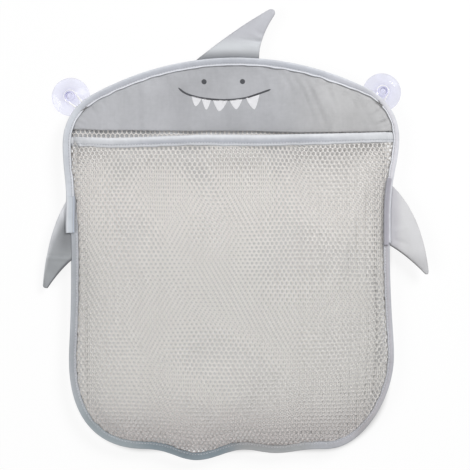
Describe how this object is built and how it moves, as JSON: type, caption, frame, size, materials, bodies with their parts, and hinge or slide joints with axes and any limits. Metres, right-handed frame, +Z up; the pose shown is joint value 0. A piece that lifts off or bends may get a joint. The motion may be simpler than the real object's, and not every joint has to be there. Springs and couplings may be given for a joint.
{
  "type": "bath toy organizer",
  "caption": "Wall-hung net pocket with a stiff arched cloth head, padded fins, folded edge tapes and suction cups on elastic loops, for keeping bath toys.",
  "frame": {"origin": "on the wall plane that the suction cups' rims press on, on the bag's centre line, at the cups' height", "axes": "+Z up, +X to the viewer's right, +Y into the wall"},
  "size_m": [0.4028, 0.0645, 0.4692],
  "materials": {
    "cloth": "grey satin weave",
    "lining": "grey plain weave",
    "stiffener": "matte sheet",
    "net": "warp-knit hexagon net",
    "tape": "ribbed binding tape",
    "wadding": "loose fibre",
    "elastic": "braided elastic cord",
    "clear_vinyl": "clear soft vinyl"
  },
  "bodies": {
    "bag": {"head_front_cloth": "cloth", "head_stiffener": "stiffener", "head_back_cloth": "lining", "back_net": "net", "front_net": "net", "pocket_hem_tape": "tape", "head_edge_tape": "tape", "pocket_edge_tape": "tape"},
    "dorsal_fin": {"dorsal_fin_front_cloth": "cloth", "dorsal_fin_back_cloth": "lining", "dorsal_fin_wadding": "wadding"},
    "left_fin": {"left_fin_front_cloth": "cloth", "left_fin_back_cloth": "lining", "left_fin_wadding": "wadding"},
    "right_fin": {"right_fin_front_cloth": "cloth", "right_fin_back_cloth": "lining", "right_fin_wadding": "wadding"},
    "left_loop": {"left_hanging_loop": "elastic"},
    "left_cup": {"left_suction_cup": "clear_vinyl"},
    "right_loop": {"right_hanging_loop": "elastic"},
    "right_cup": {"right_suction_cup": "clear_vinyl"}
  },
  "joints": [
    {"name": "dorsal_fin_flap", "type": "hinge", "parent": "bag", "child": "dorsal_fin", "pos_m": [0.005, -0.01515, 0.0388], "axis": [1, 0, 0], "range_deg": [-15, 90], "stiffness_Nm_per_rad": 0.02},
    {"name": "left_fin_flap", "type": "hinge", "parent": "bag", "child": "left_fin", "pos_m": [-0.1723, -0.01515, -0.1104], "axis": [0.0095, 0, 1], "range_deg": [0, 110], "stiffness_Nm_per_rad": 0.02},
    {"name": "right_fin_flap", "type": "hinge", "parent": "bag", "child": "right_fin", "pos_m": [0.169, -0.01515, -0.09437], "axis": [0.0347, 0, 0.9994], "range_deg": [-90, 15], "stiffness_Nm_per_rad": 0.02},
    {"name": "left_loop_flex", "type": "hinge", "parent": "bag", "child": "left_loop", "pos_m": [-0.1515, -0.0091, -0.017], "axis": [-0.6775, 0, -0.7355], "range_deg": [0, 45], "stiffness_Nm_per_rad": 0.01},
    {"name": "right_loop_flex", "type": "hinge", "parent": "bag", "child": "right_loop", "pos_m": [0.1534, -0.0091, -0.0114], "axis": [-0.9467, 0, 0.3221], "range_deg": [0, 45], "stiffness_Nm_per_rad": 0.01},
    {"name": "left_cup_swivel", "type": "hinge", "parent": "left_loop", "child": "left_cup", "pos_m": [-0.168, -0.0091, -0.0018], "axis": [0, 1, 0], "continuous": true},
    {"name": "right_cup_swivel", "type": "hinge", "parent": "right_loop", "child": "right_cup", "pos_m": [0.1583, -0.0091, 0.003], "axis": [0, 1, 0], "continuous": true}
  ]
}
